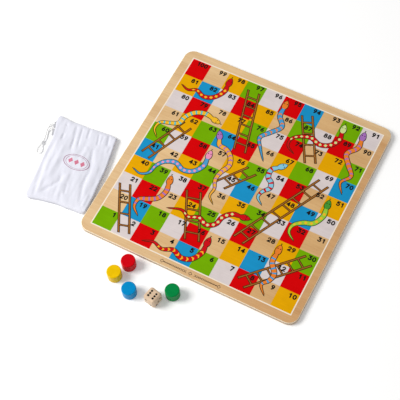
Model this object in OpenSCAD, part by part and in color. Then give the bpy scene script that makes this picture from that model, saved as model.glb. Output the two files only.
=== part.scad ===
// A snakes and ladders set: a plywood board with its printed field, four
// wooden counters, a wooden die and a cotton drawstring bag.
// The board lies flat. The origin is on its underside, below the middle of the
// playing field. X runs along the row of squares 1 to 10, Y runs up the board
// and Z points up.

/* [Board] */
// Side of one square of the playing field
cell = 25.8; // [20:0.2:32]
// Bare wood outside the playing field
border_w = 11; // [8:0.5:18]
// Radius of the board's corners
corner_r = 12.5; // [6:0.5:22]
// Thickness of the face veneer and of the back veneer
veneer_t = 1; // [0.7:0.1:1.6]
// Thickness of each crossband
crossband_t = 1.3; // [0.8:0.1:2]
// Thickness of the core
core_t = 1.4; // [0.8:0.1:4]
// How far the board's outer edges are sanded back
ease_w = 0.8; // [0.3:0.1:1.2]

/* [Print] */
// Thickness of the first layer of ink
ink_t = 0.1; // [0.06:0.02:0.2]
// Thickness of each colour printed over another
overprint_t = 0.05; // [0.03:0.01:0.1]
// Width of the white line round the field
line_w = 1.4; // [1:0.2:4]
// How far the print lies to the right of the board's middle
print_shift = 1.4; // [0:0.1:2]
// Hairline between neighbouring colours
register_gap = 0.02; // [0.01:0.01:0.1]
// Width of the dark outline of the ladders and snakes
outline_w = 0.8; // [0.3:0.05:0.8]

/* [Ladders] */
// Width of a rail with its outline
rail_w = 3.1; // [1.8:0.1:3.2]
// Width of a rung with its outline
rung_w = 2.7; // [1.7:0.1:3]
// Distance from the end of a rail to its nearest rung
rung_end = 10.2; // [8:0.2:12]

/* [Snakes] */
// Width of a snake's body inside its outline
snake_w = 5.3; // [3:0.2:6]
// Length of a snake's head
head_l = 12; // [8:0.5:14]
// Width of a snake's head
head_w = 6.8; // [6:0.2:9]
// Distance from one mark on a snake's back to the next
mark_pitch = 6.4; // [4:0.2:10]
// Diameter of a snake's eye
eye_d = 1.3; // [0.8:0.1:1.8]
// Length of a snake's tongue
tongue_l = 3.2; // [2:0.2:5]
// Width of a snake's tongue
tongue_w = 0.6; // [0.4:0.1:1]

/* [Counters] */
// Diameter of a counter
counter_d = 17; // [13:0.5:20]
// Height of a counter
counter_h = 14.5; // [6:0.5:18]
// Rounding of a counter's edges
counter_edge_r = 1.2; // [0.4:0.1:2]

/* [Die] */
// Width of the die
die_w = 16; // [12:0.5:18]
// Rounding of the die's edges
die_edge_r = 3.4; // [1:0.1:4]
// Diameter of the ball that the die's corners are turned to
die_ball_d = 22.6; // [22:0.1:26]
// Diameter of a pip
pip_d = 2.3; // [1.6:0.1:2.8]
// Depth of a pip
pip_depth = 0.3; // [0.3:0.1:0.8]
// Thickness of the paint in a pip
pip_paint_t = 0.2; // [0.1:0.05:0.3]
// Distance from one pip to the next
pip_pitch = 3.25; // [3:0.05:3.6]

/* [Bag] */
// Width of the bag as it lies
bag_w = 80; // [70:1:110]
// Length of the bag's long side, up to the hem
bag_side_l = 94; // [80:1:130]
// Thickness of the bag as it lies
bag_t = 8; // [6.5:0.5:14]
// Radius of the bag's lower corners
bag_corner_r = 8; // [3:0.5:14]
// Width of the hem that the cord runs in
hem_w = 22; // [18:0.5:30]
// Thickness of the hem
hem_t = 7; // [5:0.5:12]
// Rounding of the hem's long edges
hem_edge_r = 2.5; // [1:0.1:2.5]
// How far the gathered hem slants
hem_tilt = 8.2; // [0:0.2:12]
// Turn of the bag on the table
bag_turn = 10; // [0:0.5:20]
// Gap between the bag's corner and the board
bag_gap = 1.1; // [0.8:0.1:20]
// Distance of the bag's corner up the board's side
bag_rise = 21; // [0:1:60]
// Diameter of the drawstring
cord_d = 1.8; // [1.2:0.1:2]
// Play of the drawstring in the hem
cord_play = 0.3; // [0.2:0.1:0.8]
// How far the drawstring's channel lies below the middle of the hem
channel_drop = 3.5; // [0:0.5:3.5]
// Diameter of the knot
knot_d = 5.4; // [4.5:0.1:7]
// Length of the knot
knot_l = 7; // [6:0.1:10]

/* [Hidden] */
$fn = 96;
overrun = 1;

// The board
squares = 10;
field_w = squares * cell;
board_w = field_w + 2 * border_w;
board_t = 2 * veneer_t + 2 * crossband_t + core_t;
ease_limit_share = 0.85;
ease_r = min(ease_w, veneer_t * ease_limit_share);
ease_steps = 3;

// The print. A square's ink follows a knight's move, apart from some steps of
// the track
INK_GREEN = 0;
INK_WHITE = 1;
INK_RED = 2;
INK_BARE = 3;
INK_YELLOW = 4;
INK_BLUE = 5;
inks = 5;
knight_step = 3;
blue_steps = [5, 13, 19, 41, 46, 49, 64, 70, 82, 94];
yellow_steps = [85];
bare_steps = [86, 93];
print_z = board_t + ink_t;

// Ladders: foot and top across and up the field and the gap between the
// rails, as shares of a square, and how far a rung slants, as a share of the gap
ladder_place_shares = [
    [1.60, 0.20, 0.40, 2.45, 0.48, -0.22],
    [7.38, 0.38, 9.62, 2.66, 0.52, 0.14],
    [4.52, 1.23, 3.43, 3.51, 0.63, -0.21],
    [6.35, 2.18, 8.59, 6.47, 0.53, 0.17],
    [0.48, 4.19, 1.54, 6.50, 0.49, 0.03],
    [4.36, 4.31, 5.37, 5.62, 0.51, 0.28],
    [4.36, 6.29, 3.51, 9.53, 0.55, -0.24],
    [7.58, 7.14, 6.36, 9.43, 0.49, -0.10]
];
ladder_rungs = [4, 6, 4, 8, 4, 3, 6, 4];
// Snakes that are printed over each ladder
ladder_cover = [[], [8], [5], [], [1], [3], [], [12]];

// Snakes: points that the back runs through from neck to tail, across and up
// the field, as shares of a square. They leave the squares' numbers free
snake_way_shares = [
    [[2.22, 9.32], [2.22, 8.88], [1.90, 8.40], [1.45, 8.24], [1.00, 8.42], [0.60, 8.26], [0.20, 8.40]],
    [[2.45, 7.32], [2.00, 7.42], [1.52, 7.25], [1.20, 6.85], [1.10, 6.42], [0.68, 6.22], [0.28, 6.06], [0.20, 5.65],
        [0.50, 5.28]],
    [[3.20, 5.33], [3.22, 4.85], [2.92, 4.40], [2.45, 4.26], [1.97, 4.45], [1.50, 4.28], [1.22, 3.90], [1.12, 3.46],
        [0.76, 3.22], [0.32, 3.34]],
    [[3.22, 6.50], [3.38, 6.18], [3.78, 6.10], [4.13, 5.82], [4.28, 5.38], [4.10, 4.92], [4.04, 4.45], [4.22, 4.02],
        [4.20, 3.60], [4.52, 3.28]],
    [[2.22, 3.34], [2.30, 2.90], [2.12, 2.45], [1.72, 2.20], [1.36, 2.02], [1.36, 1.60], [1.72, 1.26]],
    [[5.98, 3.28], [5.55, 3.22], [5.22, 2.88], [5.10, 2.44], [4.72, 2.22], [4.28, 2.40], [3.82, 2.22], [3.38, 2.40],
        [2.74, 2.20]],
    [[5.20, 1.32], [5.20, 0.88], [4.92, 0.42], [4.46, 0.28], [4.00, 0.46], [3.50, 0.28], [3.02, 0.42], [2.52, 0.26]],
    [[9.22, 5.38], [9.26, 4.92], [9.02, 4.42], [8.60, 4.24], [8.24, 3.94], [8.22, 3.54], [8.58, 3.24]],
    [[8.20, 2.38], [8.20, 1.88], [8.52, 1.42], [8.46, 1.02], [8.24, 0.70], [8.56, 0.30]],
    [[9.20, 9.34], [9.22, 8.84], [8.88, 8.34], [9.20, 7.82], [9.54, 7.34], [9.24, 6.84], [9.54, 6.32]],
    [[6.40, 6.32], [6.12, 6.05], [6.16, 5.66], [6.42, 5.42], [6.48, 5.14], [6.26, 4.86], [6.20, 4.50], [6.52, 4.22]],
    [[5.20, 9.34], [5.22, 8.84], [5.56, 8.34], [5.20, 7.82], [4.88, 7.36], [5.18, 6.84], [5.58, 6.30]],
    [[8.22, 9.32], [8.26, 8.86], [8.00, 8.42], [7.54, 8.24], [7.06, 8.40], [6.58, 8.26], [6.24, 7.96], [6.26, 7.54],
        [6.66, 7.28]]
];
MARK_DIAMONDS = 0;
MARK_BANDS = 1;
MARK_SPOTS = 2;
MARK_CHEVRONS = 3;
snake_marks = [0, 1, 0, 3, 1, 0, 3, 0, 1, 3, 1, 3, 0];
snake_steps = 48;
neck_share = 0.66;
neck_rise = 4;
taper_share = 0.5;
taper_power = 0.8;
slope_step = 0.01;
head_steps = 28;
head_lead_share = 0.36;
snout_share = 0.26;
eye_lead_share = 0.12;
eye_side_share = 0.24;
pupil_share = 0.5;
fork_share = 0.45;
fork_turn = 28;
mark_start_share = 0.08;
mark_end_share = 0.80;
mark_length_share = 0.34;
mark_width_share = 0.78;
chevron_share = 0.5;

// Counters and die: across from the board's middle and out from its near
// edge, as shares of a counter's diameter
red_place_shares = [-3.75, 0.86];
yellow_place_shares = [-4.22, 1.98];
blue_place_shares = [-2.73, 2.60];
green_place_shares = [-0.08, 1.43];
die_place_shares = [-1.06, 2.34];
die_turn = -12;
paint_gap = 0.02;

// The bag, drawn with its corner next to the board at zero
slice_t = 0.2;
bag_slice_z_shares = [0, 0.3, 0.7, 1];
bag_slice_inset_shares = [0.35, 0, 0.3, 1.9];
corner_steps = 6;
hem_l = bag_w / cos(hem_tilt);
hem_near = bag_side_l;
cord_bend_r = 2 * cord_d;
channel_w = 2 * cord_bend_r + cord_d + 2 * cord_play;
channel_h = cord_d + 2 * cord_play;
channel_l = hem_l - hem_edge_r;
cord_sides = 8;
run_step = 3 * cord_d;
turn_steps = 6;

// The drawstring's loop on the table, from the hem round the knot and back
loop_route = [
    [-238.4, -29.6, 3.5], [-241.3, -30.1, 3.4], [-243.3, -32.0, 2.8], [-244.2, -34.8, 2.0],
    [-244.4, -38.2, 1.3], [-244.1, -41.6, 0.9], [-243.2, -45.0, 0.9], [-242.1, -48.3, 0.9],
    [-241.1, -51.6, 0.9], [-240.5, -55.0, 0.9], [-240.5, -58.4, 0.9], [-240.8, -61.8, 0.9],
    [-241.2, -65.2, 0.9], [-241.3, -68.9, 0.9], [-240.3, -72.3, 0.9], [-237.6, -74.3, 0.9],
    [-234.9, -73.1, 0.9], [-234.0, -69.9, 0.9], [-235.1, -66.6, 0.9], [-237.2, -63.7, 0.9],
    [-238.4, -60.2, 0.9], [-238.3, -56.6, 0.9], [-238.3, -53.0, 0.9], [-239.2, -49.5, 0.9],
    [-240.4, -46.2, 0.9], [-241.5, -43.1, 1.2], [-241.9, -40.6, 2.0], [-241.4, -38.7, 2.8],
    [-240.0, -37.3, 3.4], [-238.1, -36.8, 3.5]
];
knot_place = [-239.9, -60.2];
knot_turn = 100;

// A square with round corners
module round_square(side, r) {
    square([side - 2 * r, side], center = true);
    square([side, side - 2 * r], center = true);
    for (x = [-1, 1], y = [-1, 1])
        translate([x * (side / 2 - r), y * (side / 2 - r)]) circle(r);
}

// A rectangle with round corners, its lower left corner at zero
module round_bar(size, r) {
    translate([r, 0]) square([size.x - 2 * r, size.y]);
    translate([0, r]) square([size.x, size.y - 2 * r]);
    for (x = [r, size.x - r], y = [r, size.y - r]) translate([x, y]) circle(r);
}

// Plies. The two outer ones have their outer edge eased

function ply_edge(t) = concat(
    [[0, 0], [corner_r, 0]],
    [for (k = [0 : ease_steps])
        let (a = 90 * k / ease_steps)
        [corner_r - ease_r * (1 - cos(a)), t - ease_r * (1 - sin(a))]],
    [[0, t]]
);

module eased_ply(t) translate([-print_shift, 0, 0]) {
    run = board_w - 2 * corner_r;
    translate([-run / 2, -run / 2, 0]) cube([run, run, t]);
    for (side = [0 : 3]) rotate(90 * side) {
        translate([run / 2, run / 2, 0]) rotate([90, 0, 0]) linear_extrude(run) polygon(ply_edge(t));
        translate([run / 2, run / 2, 0]) rotate_extrude(angle = 90) polygon(ply_edge(t));
    }
}

module plain_ply(t) translate([-print_shift, 0, 0]) linear_extrude(t) round_square(board_w, corner_r);

module face_veneer() color("burlywood")
    translate([0, 0, board_t - veneer_t]) eased_ply(veneer_t);

module upper_crossband() color("wheat")
    translate([0, 0, veneer_t + crossband_t + core_t]) plain_ply(crossband_t);

module core_ply() color("tan")
    translate([0, 0, veneer_t + crossband_t]) plain_ply(core_t);

module lower_crossband() color("wheat")
    translate([0, 0, veneer_t]) plain_ply(crossband_t);

module back_veneer() color("burlywood")
    translate([0, 0, veneer_t]) mirror([0, 0, 1]) eased_ply(veneer_t);

// The printed field

function square_number(i, j) = j % 2 == 0 ? squares * j + i + 1 : squares * (j + 1) - i;

function listed(n, steps) = len(search(n, steps)) > 0;

function square_ink(i, j) =
    let (n = square_number(i, j))
    listed(n, blue_steps) ? INK_BLUE
    : listed(n, yellow_steps) ? INK_YELLOW
    : listed(n, bare_steps) ? INK_BARE
    : (i + knight_step * j) % inks;

// A square's low or high edge, kept inside the white line
function square_low(k) = max(k * cell, line_w / 2) + register_gap / 2 - field_w / 2;
function square_high(k) = min((k + 1) * cell, field_w - line_w / 2) - register_gap / 2 - field_w / 2;

module inked_squares(ink)
    for (j = [0 : squares - 1], i = [0 : squares - 1])
        if (square_ink(i, j) == ink)
            translate([square_low(i), square_low(j), board_t])
                cube([square_high(i) - square_low(i), square_high(j) - square_low(j), ink_t]);

module bare_squares() color("burlywood") inked_squares(INK_BARE);
module white_squares() color("whitesmoke") inked_squares(INK_WHITE);
module red_squares() color("firebrick") inked_squares(INK_RED);
module yellow_squares() color("goldenrod") inked_squares(INK_YELLOW);
module green_squares() color("olivedrab") inked_squares(INK_GREEN);
module blue_squares() color("steelblue") inked_squares(INK_BLUE);

module field_line() color("white") translate([0, 0, board_t]) difference() {
    linear_extrude(ink_t) square(field_w + line_w, center = true);
    translate([0, 0, -overrun]) linear_extrude(ink_t + 2 * overrun)
        square(field_w - line_w, center = true);
}

// Ladders

// A strip of a ladder with slanting ends, from run[0] to run[1] along the
// ladder and from reach[0] to reach[1] across it
module strip(run, reach, slant)
    polygon([for (c = [[0, 0], [1, 0], [1, 1], [0, 1]]) [run[c.x] - slant * reach[c.y], reach[c.y]]]);

module ladder_plan(k, thin) {
    shares = ladder_place_shares[k];
    foot = [shares[0], shares[1]] * cell;
    rise = [shares[2], shares[3]] * cell - foot;
    gauge = shares[4] * cell;
    slant = shares[5];
    length = norm(rise);
    rungs = ladder_rungs[k];
    pitch = (length - 2 * rung_end) / (rungs - 1);
    half_rail = rail_w / 2 - thin;
    half_rung = rung_w / 2 - thin;
    translate(foot - [1, 1] * field_w / 2) rotate(atan2(rise.y, rise.x)) {
        for (side = [-1, 1])
            strip([thin, length - thin], [for (e = [-1, 1]) side * gauge / 2 + e * half_rail], slant);
        for (n = [0 : rungs - 1])
            strip([for (e = [-1, 1]) rung_end + n * pitch + e * half_rung], [-gauge / 2, gauge / 2], slant);
    }
}

// A snake printed over a ladder hides it, so the ladder stops at its outline
module ladder(k) difference() {
    union() {
        color("saddlebrown") translate([0, 0, print_z]) linear_extrude(ink_t)
            ladder_plan(k, 0);
        color("peru") translate([0, 0, print_z + ink_t]) linear_extrude(overprint_t)
            ladder_plan(k, outline_w);
    }
    for (s = ladder_cover[k])
        translate([0, 0, print_z - overrun]) linear_extrude(ink_t + 2 * overrun)
            snake_plan(s, outline_w + register_gap);
}

module ladder_2_to_21() ladder(0);
module ladder_8_to_30() ladder(1);
module ladder_16_to_37() ladder(2);
module ladder_27_to_69() ladder(3);
module ladder_41_to_62() ladder(4);
module ladder_45_to_55() ladder(5);
module ladder_65_to_97() ladder(6);
module ladder_73_to_94() ladder(7);

// Snakes. The back runs from neck to tail and sways to both sides

function neck_of(s) = snake_way_shares[s][0] * cell;
function across(v) = [-v.y, v.x] / norm(v);

// How far it is to point k, and the leg in which a distance ends
function run_to(way, k) = k == 0 ? 0 : run_to(way, k - 1) + norm(way[k] - way[k - 1]);
function run_of(way) = run_to(way, len(way) - 1);
function leg_at(way, run, k = 0) =
    k == len(way) - 2 || run_to(way, k + 1) > run ? k : leg_at(way, run, k + 1);

// A smooth curve through four points, from the second to the third
function curve_at(a, b, c, d, u) =
    b + ((c - a) + (2 * a - 5 * b + 4 * c - d) * u + (3 * b - a - 3 * c + d) * u * u) * u / 2;

function back_at(s, t) =
    let (way = snake_way_shares[s],
         last = len(way) - 1,
         run = t * run_of(way),
         k = leg_at(way, run),
         u = (run - run_to(way, k)) / norm(way[k + 1] - way[k]),
         before = k == 0 ? 2 * way[0] - way[1] : way[k - 1],
         after = k == last - 1 ? 2 * way[last] - way[last - 1] : way[k + 2])
    cell * curve_at(before, way[k], way[k + 1], after, u);

function slope_at(s, t) =
    let (step = back_at(s, t + slope_step) - back_at(s, t - slope_step))
    step / norm(step);

function girth_at(t) =
    min(neck_share + neck_rise * t, 1) * pow(min(1, (1 - t) / taper_share), taper_power);

// A point of the snake at t, side times half the width away from its back
function flank_at(s, t, side, spare = 0) =
    back_at(s, t) + across(slope_at(s, t)) * side * (girth_at(t) * snake_w / 2 + spare);

module body_plan(s, spare) polygon(concat(
    [for (k = [0 : snake_steps - 1]) flank_at(s, k / snake_steps, 1, spare)],
    [back_at(s, 1) + slope_at(s, 1) * spare * 2],
    [for (k = [snake_steps - 1 : -1 : 0]) flank_at(s, k / snake_steps, -1, spare)]
));

// Draws its children with the neck at zero and the snout along X
module at_neck(s) {
    way = -slope_at(s, 0);
    translate(neck_of(s)) rotate(atan2(way.y, way.x)) translate([head_l * head_lead_share, 0]) children();
}

module head_plan(s, spare) at_neck(s) polygon([
    for (k = [0 : head_steps - 1])
        let (a = 360 * k / head_steps)
        [(head_l / 2 + spare) * cos(a), (head_w / 2 + spare) * sin(a) * (1 - snout_share * cos(a))]
]);

module tongue_plan(s) at_neck(s) translate([head_l / 2, 0]) {
    translate([-outline_w, -tongue_w / 2]) square([tongue_l * (1 - fork_share) + outline_w, tongue_w]);
    for (side = [-1, 1])
        translate([tongue_l * (1 - fork_share) - tongue_w / 2, 0]) rotate(side * fork_turn)
            translate([0, -tongue_w / 2]) square([tongue_l * fork_share, tongue_w]);
}

module snake_plan(s, spare) translate([-field_w / 2, -field_w / 2]) {
    body_plan(s, spare);
    head_plan(s, spare);
    tongue_plan(s);
}

module mark_plan(s, t, reach) {
    kind = snake_marks[s];
    wide = mark_width_share;
    if (kind == MARK_DIAMONDS)
        polygon([back_at(s, t - reach), flank_at(s, t, wide), back_at(s, t + reach), flank_at(s, t, -wide)]);
    if (kind == MARK_BANDS)
        polygon([for (c = [[-1, 1], [1, 1], [1, -1], [-1, -1]]) flank_at(s, t + c[0] * reach / 2, c[1])]);
    if (kind == MARK_SPOTS)
        translate(back_at(s, t)) circle(d = girth_at(t) * snake_w * chevron_share);
    if (kind == MARK_CHEVRONS)
        polygon([
            back_at(s, t - reach), flank_at(s, t, 1), flank_at(s, t + reach * chevron_share, 1),
            back_at(s, t), flank_at(s, t + reach * chevron_share, -1), flank_at(s, t, -1)
        ]);
}

module snake(s, body_colour, mark_colour, head_colour) {
    run = run_of(snake_way_shares[s]) * cell;
    marks = round(run * (mark_end_share - mark_start_share) / mark_pitch);
    step = (mark_end_share - mark_start_share) / marks;
    over_z = print_z + ink_t;
    color("darkolivegreen") translate([0, 0, print_z]) linear_extrude(ink_t) snake_plan(s, outline_w);
    translate([-field_w / 2, -field_w / 2, over_z]) {
        color(body_colour) linear_extrude(overprint_t) body_plan(s, 0);
        color(mark_colour) translate([0, 0, overprint_t]) linear_extrude(overprint_t)
            for (k = [0 : marks - 1])
                mark_plan(s, mark_start_share + (k + 0.5) * step, step * mark_length_share);
        color(head_colour) linear_extrude(3 * overprint_t) head_plan(s, 0);
        color("black") translate([0, 0, 3 * overprint_t]) linear_extrude(overprint_t)
            at_neck(s) for (side = [-1, 1])
                translate([head_l * eye_lead_share, side * head_w * eye_side_share]) circle(d = eye_d);
    }
}

module snake_98_to_81() snake(0, "firebrick", "gold", "firebrick");
module snake_78_to_60() snake(1, "gold", "mediumturquoise", "gold");
module snake_57_to_40() snake(2, "steelblue", "hotpink", "hotpink");
module snake_64_to_36() snake(3, "orange", "mediumpurple", "mediumpurple");
module snake_38_to_19() snake(4, "darkorange", "mediumpurple", "darkorange");
module snake_34_to_23() snake(5, "firebrick", "palegreen", "firebrick");
module snake_15_to_3() snake(6, "firebrick", "gold", "firebrick");
module snake_51_to_32() snake(7, "yellowgreen", "gold", "forestgreen");
module snake_29_to_9() snake(8, "darkorange", "steelblue", "darkorange");
module snake_91_to_70() snake(9, "darkorange", "mediumpurple", "mediumpurple");
module snake_67_to_47() snake(10, "skyblue", "firebrick", "skyblue");
module snake_95_to_66() snake(11, "steelblue", "orange", "darkorange");
module snake_92_to_74() snake(12, "firebrick", "palegreen", "palegreen");

// Counters, turned from rod

module at_place(shares)
    translate([shares.x * counter_d, -board_w / 2 - shares.y * counter_d, 0]) children();

module counter(shares) at_place(shares) rotate_extrude() {
    r = counter_d / 2;
    e = counter_edge_r;
    square([r - e, counter_h]);
    translate([0, e]) square([r, counter_h - 2 * e]);
    for (z = [e, counter_h - e]) translate([r - e, z]) circle(e);
}

module red_counter() color("crimson") counter(red_place_shares);
module yellow_counter() color("gold") counter(yellow_place_shares);
module blue_counter() color("dodgerblue") counter(blue_place_shares);
module green_counter() color("green") counter(green_place_shares);

// The die. Six is on top, and opposite faces add up to seven

function pip_spots(n) = concat(
    n % 2 == 1 ? [[0, 0]] : [],
    n > 1 ? [[-1, -1], [1, 1]] : [],
    n > 3 ? [[-1, 1], [1, -1]] : [],
    n == 6 ? [[-1, 0], [1, 0]] : []
);
face_turns = [
    [6, [0, 0, 0]], [1, [180, 0, 0]], [2, [90, 90, 0]],
    [5, [-90, 0, 0]], [3, [90, 0, 90]], [4, [0, -90, 0]]
];

module at_die() at_place(die_place_shares) rotate(die_turn) translate([0, 0, die_w / 2]) children();

module on_pips(depth) for (face = face_turns) rotate(face[1])
    for (spot = pip_spots(face[0]))
        translate([spot.x * pip_pitch, spot.y * pip_pitch, die_w / 2 - depth]) children();

module die() color("burlywood") at_die() difference() {
    intersection() {
        die_prism([0, 0, 0]);
        die_prism([90, 0, 0]);
        die_prism([0, 90, 0]);
        sphere(d = die_ball_d);
    }
    on_pips(pip_depth) cylinder(d = pip_d, h = pip_depth + overrun);
}

module die_prism(turn) rotate(turn)
    linear_extrude(die_w + 2 * overrun, center = true) round_square(die_w, die_edge_r);

module die_pips() color("black") at_die()
    on_pips(pip_depth) cylinder(d = pip_d - 2 * paint_gap, h = pip_paint_t);

// The bag and its drawstring

module at_bag()
    translate([-board_w / 2 - print_shift - bag_gap, -board_w / 2 + bag_rise, 0])
        rotate(bag_turn) children();

module at_hem() at_bag() translate([-bag_w, hem_near, 0]) rotate(-hem_tilt) children();

function hem_line(x) = bag_side_l - tan(hem_tilt) * (x + bag_w);

function round_corner(centre, quarter) = [
    for (k = [0 : corner_steps])
        let (a = 90 * (quarter + k / corner_steps))
        centre + bag_corner_r * [cos(a), sin(a)]
];

function bag_outline(inset) =
    let (low = inset + bag_corner_r, left = -bag_w + inset)
    concat(
        round_corner([left + bag_corner_r, low], 2),
        round_corner([-inset - bag_corner_r, low], 3),
        [[-inset, hem_line(-inset)], [left, hem_line(left)]]
    );

// Cotton, lying puffed: flat below, fullest low down and drawn in at the top
module bag_body() color("white") at_bag() hull() for (k = [0 : len(bag_slice_z_shares) - 1])
    translate([0, 0, bag_slice_z_shares[k] * (bag_t - slice_t)]) linear_extrude(slice_t)
        polygon(bag_outline(bag_slice_inset_shares[k] * bag_t));

// The hem is sewn down all round the mouth and open at one side for the cord
module bag_hem() color("white") at_hem() difference() {
    rotate([90, 0, 90]) linear_extrude(hem_l) round_bar([hem_w, hem_t], hem_edge_r);
    translate([-overrun, hem_w / 2 - channel_drop - channel_w / 2, hem_t / 2 - channel_h / 2])
        cube([channel_l + overrun, channel_w, channel_h]);
}

function unit(v) = v / norm(v);

function way_at(route, k) = unit(route[min(k + 1, len(route) - 1)] - route[max(k - 1, 0)]);

function ring_at(route, k) =
    let (way = way_at(route, k), side = unit(cross(way, [0, 0, 1])), up = cross(side, way))
    [for (n = [0 : cord_sides - 1])
        let (a = 360 * (n + 0.5) / cord_sides)
        route[k] + (side * cos(a) + up * sin(a)) * cord_d / 2];

module cord(route) {
    rings = len(route);
    last = (rings - 1) * cord_sides;
    polyhedron(
        points = [for (k = [0 : rings - 1]) each ring_at(route, k)],
        faces = concat(
            [[for (n = [cord_sides - 1 : -1 : 0]) n]],
            [for (k = [0 : rings - 2], n = [0 : cord_sides - 1])
                let (a = k * cord_sides, m = (n + 1) % cord_sides)
                [a + n, a + m, a + cord_sides + m, a + cord_sides + n]],
            [[for (n = [0 : cord_sides - 1]) last + n]]
        )
    );
}

// The stretch inside the hem runs across, turns at the closed side and comes back
run_end = channel_l - cord_play - cord_d / 2 - cord_bend_r;
runs = floor(run_end / run_step);
hem_route = concat(
    [for (k = [0 : runs - 1]) [run_end * k / runs, cord_bend_r, 0]],
    [for (k = [0 : turn_steps])
        let (a = 90 - 180 * k / turn_steps)
        [run_end + cord_bend_r * cos(a), cord_bend_r * sin(a), 0]],
    [for (k = [runs - 1 : -1 : 0]) [run_end * k / runs, -cord_bend_r, 0]]
);

module drawstring_in_hem() color("ivory") at_hem()
    translate([0, hem_w / 2 - channel_drop, hem_t / 2]) cord(hem_route);

module drawstring_loop() color("ivory") cord(loop_route);

module drawstring_knot() color("ivory")
    translate([knot_place.x, knot_place.y, knot_d / 2]) rotate([0, 90, knot_turn]) {
        cylinder(d = knot_d, h = knot_l - knot_d, center = true);
        for (side = [-1, 1]) translate([0, 0, side * (knot_l - knot_d) / 2]) sphere(d = knot_d);
    }

face_veneer();
upper_crossband();
core_ply();
lower_crossband();
back_veneer();
bare_squares();
white_squares();
red_squares();
yellow_squares();
green_squares();
blue_squares();
field_line();
ladder_2_to_21();
ladder_8_to_30();
ladder_16_to_37();
ladder_27_to_69();
ladder_41_to_62();
ladder_45_to_55();
ladder_65_to_97();
ladder_73_to_94();
snake_98_to_81();
snake_78_to_60();
snake_57_to_40();
snake_64_to_36();
snake_38_to_19();
snake_34_to_23();
snake_15_to_3();
snake_51_to_32();
snake_29_to_9();
snake_91_to_70();
snake_67_to_47();
snake_95_to_66();
snake_92_to_74();
red_counter();
yellow_counter();
blue_counter();
green_counter();
die();
die_pips();
bag_body();
bag_hem();
drawstring_in_hem();
drawstring_loop();
drawstring_knot();
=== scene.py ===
# Snakes and ladders set: the looks of every piece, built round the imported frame.
# Lengths are metres in the board's frame. A name that ends in _mm is in millimetres.

import math

import bmesh
import bpy
from mathutils import Matrix, Vector, noise


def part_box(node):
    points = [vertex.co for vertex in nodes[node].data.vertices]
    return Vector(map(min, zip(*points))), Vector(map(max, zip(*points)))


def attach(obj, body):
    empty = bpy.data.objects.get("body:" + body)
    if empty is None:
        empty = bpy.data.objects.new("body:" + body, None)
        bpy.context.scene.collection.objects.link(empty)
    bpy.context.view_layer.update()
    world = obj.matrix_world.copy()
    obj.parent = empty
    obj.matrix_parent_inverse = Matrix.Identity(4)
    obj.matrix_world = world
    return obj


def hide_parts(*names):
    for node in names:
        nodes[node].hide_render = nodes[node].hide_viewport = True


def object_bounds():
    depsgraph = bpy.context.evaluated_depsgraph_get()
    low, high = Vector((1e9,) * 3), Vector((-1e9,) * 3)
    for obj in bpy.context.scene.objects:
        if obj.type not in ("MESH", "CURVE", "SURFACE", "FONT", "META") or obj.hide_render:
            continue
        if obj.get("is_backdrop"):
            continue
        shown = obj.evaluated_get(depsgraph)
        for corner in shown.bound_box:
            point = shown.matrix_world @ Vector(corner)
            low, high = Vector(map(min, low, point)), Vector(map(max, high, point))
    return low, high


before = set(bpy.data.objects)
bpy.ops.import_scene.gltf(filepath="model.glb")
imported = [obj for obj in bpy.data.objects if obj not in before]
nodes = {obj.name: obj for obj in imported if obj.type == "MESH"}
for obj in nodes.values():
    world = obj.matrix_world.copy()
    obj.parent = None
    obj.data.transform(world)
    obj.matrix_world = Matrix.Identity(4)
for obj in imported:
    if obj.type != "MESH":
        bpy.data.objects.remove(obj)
cad_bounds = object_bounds()
mm = 0.001

# The table, the light and the camera
# A plain white table under one big soft lamp on the left, with a pale room.
# The camera stands where the photograph was taken from.


def srgb(red, green, blue):
    """The linear colour of a paint given in steps of 0 to 255."""
    shares = [c / 255 for c in (red, green, blue)]
    linear = [c / 12.92 if c <= 0.04045 else ((c + 0.055) / 1.055) ** 2.4 for c in shares]
    return (*linear, 1)


def put(tree, kind, inputs=None, **settings):
    """Adds a node. An input is given a value, or an output to read from."""
    node = tree.nodes.new(kind)
    for key, value in settings.items():
        setattr(node, key, value)
    for key, value in (inputs or {}).items():
        if isinstance(value, bpy.types.NodeSocket):
            tree.links.new(value, node.inputs[key])
        else:
            node.inputs[key].default_value = value
    return node


def maths(tree, operation, a, b=0.0, c=0.0):
    return put(tree, "ShaderNodeMath", {0: a, 1: b, 2: c}, operation=operation).outputs[0]


def ramp(tree, value, low, high, out_low=0.0, out_high=1.0):
    """Turns low to high into out_low to out_high, and stays there past both ends."""
    node = put(
        tree,
        "ShaderNodeMapRange",
        {"Value": value, "From Min": low, "From Max": high, "To Min": out_low, "To Max": out_high},
    )
    return node.outputs[0]


def new_material(name, **constants):
    """A material with one Principled shader, and its constants set on that."""
    material = bpy.data.materials.new(name)
    material.use_nodes = True
    tree = material.node_tree
    tree.nodes.clear()
    shader = put(tree, "ShaderNodeBsdfPrincipled")
    for key, value in constants.items():
        shader.inputs[key.replace("_", " ")].default_value = value
    put(tree, "ShaderNodeOutputMaterial", {"Surface": shader.outputs[0]})
    return material, tree, shader


def wear(obj, material):
    """Puts one material on a piece, on all its slots."""
    if not obj.data.materials:
        obj.data.materials.append(material)
    for k in range(len(obj.data.materials)):
        obj.data.materials[k] = material


def add_object(name, data):
    obj = bpy.data.objects.new(name, data)
    bpy.context.scene.collection.objects.link(obj)
    return obj


def piece_of(name, bm):
    """Makes a piece of a finished bmesh, with its place in its mesh."""
    mesh = bpy.data.meshes.new(name)
    bm.to_mesh(mesh)
    bm.free()
    return add_object(name, mesh)


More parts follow.
